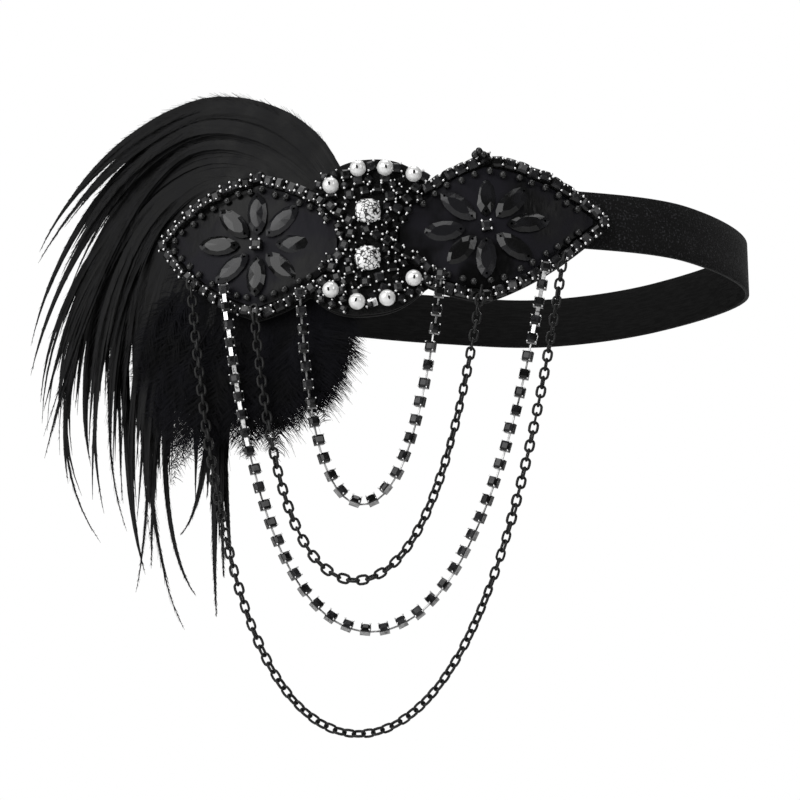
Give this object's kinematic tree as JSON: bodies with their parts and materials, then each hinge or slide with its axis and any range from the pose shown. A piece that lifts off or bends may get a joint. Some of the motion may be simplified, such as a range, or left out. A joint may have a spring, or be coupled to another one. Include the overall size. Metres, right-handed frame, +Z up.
{
  "type": "flapper feather headband",
  "caption": "Black 1920s flapper headband: velvet band, pointed beaded ornament with satin flowers, pearls and crystals, hanging rhinestone and cable chains, feather spray on its left",
  "frame": {"origin": "Centre of the band's loop at half the band's width, where the middle of the wearer's head is.", "axes": "+Z up along the wearer's head; -Y forward, the side of the ornament; +X to the right as seen from the front; the feathers are on the -X side."},
  "size_m": [0.2497, 0.1506, 0.2081],
  "materials": {
    "velvet": "black elastic velvet ribbon, fine greyish pile",
    "felt": "black stiffened felt backing",
    "satin": "black satin with a soft sheen, a loose row of jet beads along its edge",
    "jet": "jet black faceted square stones in silver prong settings",
    "petal": "black diamond navette stones, flat faceted",
    "crystal": "clear round faceted crystal in a silver prong setting",
    "pearl": "ivory white imitation pearl",
    "rhinestone": "black square stones in silver cups, linked by bars",
    "gunmetal": "black plated oval cable links",
    "hackle": "black rooster hackle feathers, soft sheen",
    "marabou": "black marabou fluff, fuzzy"
  },
  "bodies": {
    "root": {"headband": "velvet", "felt_backing": "felt", "left_panel": "satin", "right_panel": "satin", "left_rim": "jet", "right_rim": "jet", "centre_stones": "jet", "upper_crystal": "crystal", "lower_crystal": "crystal", "pearl_1": "pearl", "pearl_2": "pearl", "pearl_3": "pearl", "pearl_4": "pearl", "pearl_5": "pearl", "pearl_6": "pearl", "pearl_7": "pearl", "pearl_8": "pearl", "left_petal_1": "petal", "left_petal_2": "petal", "left_petal_3": "petal", "left_petal_4": "petal", "left_petal_5": "petal", "left_petal_6": "petal", "left_petal_7": "petal", "left_petal_8": "petal", "left_flower_stone": "jet", "right_petal_1": "petal", "right_petal_2": "petal", "right_petal_3": "petal", "right_petal_4": "petal", "right_petal_5": "petal", "right_petal_6": "petal", "right_petal_7": "petal", "right_petal_8": "petal", "right_flower_stone": "jet", "rhinestone_chain_inner": "rhinestone", "cable_chain_inner": "gunmetal", "rhinestone_chain_outer": "rhinestone", "cable_chain_outer": "gunmetal", "feather_plume": "hackle", "marabou_tuft": "marabou"}
  },
  "joints": []
}
